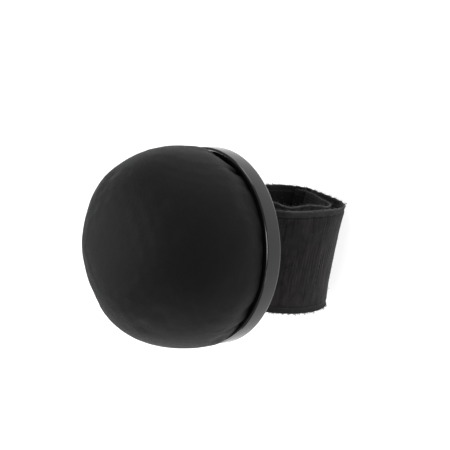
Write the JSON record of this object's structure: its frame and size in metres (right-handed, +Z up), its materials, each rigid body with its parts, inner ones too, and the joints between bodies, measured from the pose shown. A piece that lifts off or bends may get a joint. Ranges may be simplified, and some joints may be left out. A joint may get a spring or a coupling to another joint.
{
  "type": "wrist pincushion",
  "caption": "Stuffed dome pincushion in a shallow round tray, on an adjustable hook-and-loop wrist strap that unrolls open.",
  "frame": {"origin": "on the tray's axis, at the surface that the strap loop's flat underside stands on", "axes": "+Z up through the tray and the dome, Y along the strap's width, +X towards the side where the outer arm's free end lies"},
  "size_m": [0.071, 0.071, 0.0934],
  "materials": {
    "tray_plastic": "glossy moulded black plastic with small rounded edges",
    "cover_twill": "fine black twill with a soft sheen",
    "filling": "off-white fibre filling",
    "guard_board": "stiff grey board",
    "thread": "black sewing thread",
    "glue": "amber hot-melt glue",
    "strap_tape": "black loop tape, ribbed pile between plain woven edges",
    "hook_tape": "black hook tape with rows of small hooks"
  },
  "bodies": {
    "tray_body": {"tray": "tray_plastic", "cushion_cover": "cover_twill", "stuffing": "filling", "guard_disc": "guard_board", "gather_thread": "thread", "glue_dab_1": "glue", "glue_dab_2": "glue", "glue_dab_3": "glue", "glue_dab_4": "glue", "strap_bridge": "strap_tape", "outer_strap_anchor": "strap_tape", "inner_strap_anchor": "strap_tape"},
    "outer_arm_1": {"outer_strap_segment_1": "strap_tape"},
    "outer_arm_2": {"outer_strap_segment_2": "strap_tape"},
    "outer_arm_3": {"outer_strap_segment_3": "strap_tape"},
    "outer_arm_4": {"outer_strap_segment_4": "strap_tape"},
    "outer_arm_5": {"outer_strap_segment_5": "strap_tape"},
    "outer_arm_6": {"outer_strap_segment_6": "strap_tape", "hook_patch": "hook_tape", "patch_stitching_1": "thread", "patch_stitching_2": "thread"},
    "inner_arm_1": {"inner_strap_segment_1": "strap_tape"},
    "inner_arm_2": {"inner_strap_segment_2": "strap_tape"},
    "inner_arm_3": {"inner_strap_segment_3": "strap_tape"},
    "inner_arm_4": {"inner_strap_segment_4": "strap_tape"}
  },
  "joints": [
    {"name": "outer_arm_bend_1", "type": "hinge", "parent": "tray_body", "child": "outer_arm_1", "pos_m": [-0.01166, 0, 0.03871], "axis": [0, 1, 0], "range_deg": [0, 44]},
    {"name": "outer_arm_bend_2", "type": "hinge", "parent": "outer_arm_1", "child": "outer_arm_2", "pos_m": [-0.01007, 0, 0.0248], "axis": [0, 1, 0], "range_deg": [0, 35.2]},
    {"name": "outer_arm_bend_3", "type": "hinge", "parent": "outer_arm_2", "child": "outer_arm_3", "pos_m": [-0.00942, 0, 0.01182], "axis": [0, 1, 0], "range_deg": [0, 44]},
    {"name": "outer_arm_bend_4", "type": "hinge", "parent": "outer_arm_3", "child": "outer_arm_4", "pos_m": [-0.00504, 0, 0.00106], "axis": [0, 1, 0], "range_deg": [0, 48.4]},
    {"name": "outer_arm_bend_5", "type": "hinge", "parent": "outer_arm_4", "child": "outer_arm_5", "pos_m": [0.01092, 0, 0.00086], "axis": [0, 1, 0], "range_deg": [0, 44]},
    {"name": "outer_arm_bend_6", "type": "hinge", "parent": "outer_arm_5", "child": "outer_arm_6", "pos_m": [0.02096, 0, 0.0122], "axis": [0, 1, 0], "range_deg": [0, 48.4]},
    {"name": "inner_arm_bend_1", "type": "hinge", "parent": "tray_body", "child": "inner_arm_1", "pos_m": [0.01414, 0, 0.0382], "axis": [0, -1, 0], "range_deg": [0, 44]},
    {"name": "inner_arm_bend_2", "type": "hinge", "parent": "inner_arm_1", "child": "inner_arm_2", "pos_m": [0.01869, 0, 0.02404], "axis": [0, -1, 0], "range_deg": [0, 2.2]},
    {"name": "inner_arm_bend_3", "type": "hinge", "parent": "inner_arm_2", "child": "inner_arm_3", "pos_m": [0.01673, 0, 0.00933], "axis": [0, -1, 0], "range_deg": [0, 4.4]},
    {"name": "inner_arm_bend_4", "type": "hinge", "parent": "inner_arm_3", "child": "inner_arm_4", "pos_m": [0.00485, 0, 0.0029], "axis": [0, -1, 0], "range_deg": [0, 2.2]}
  ],
  "couplings": [
    {"joint": "outer_arm_bend_2", "follows": "outer_arm_bend_1", "ratio": 0.8},
    {"joint": "outer_arm_bend_3", "follows": "outer_arm_bend_1", "ratio": 1},
    {"joint": "outer_arm_bend_4", "follows": "outer_arm_bend_1", "ratio": 1.1},
    {"joint": "outer_arm_bend_5", "follows": "outer_arm_bend_1", "ratio": 1},
    {"joint": "outer_arm_bend_6", "follows": "outer_arm_bend_1", "ratio": 1.1},
    {"joint": "inner_arm_bend_1", "follows": "outer_arm_bend_1", "ratio": 1},
    {"joint": "inner_arm_bend_2", "follows": "outer_arm_bend_1", "ratio": 0.05},
    {"joint": "inner_arm_bend_3", "follows": "outer_arm_bend_1", "ratio": 0.1},
    {"joint": "inner_arm_bend_4", "follows": "outer_arm_bend_1", "ratio": 0.05}
  ]
}
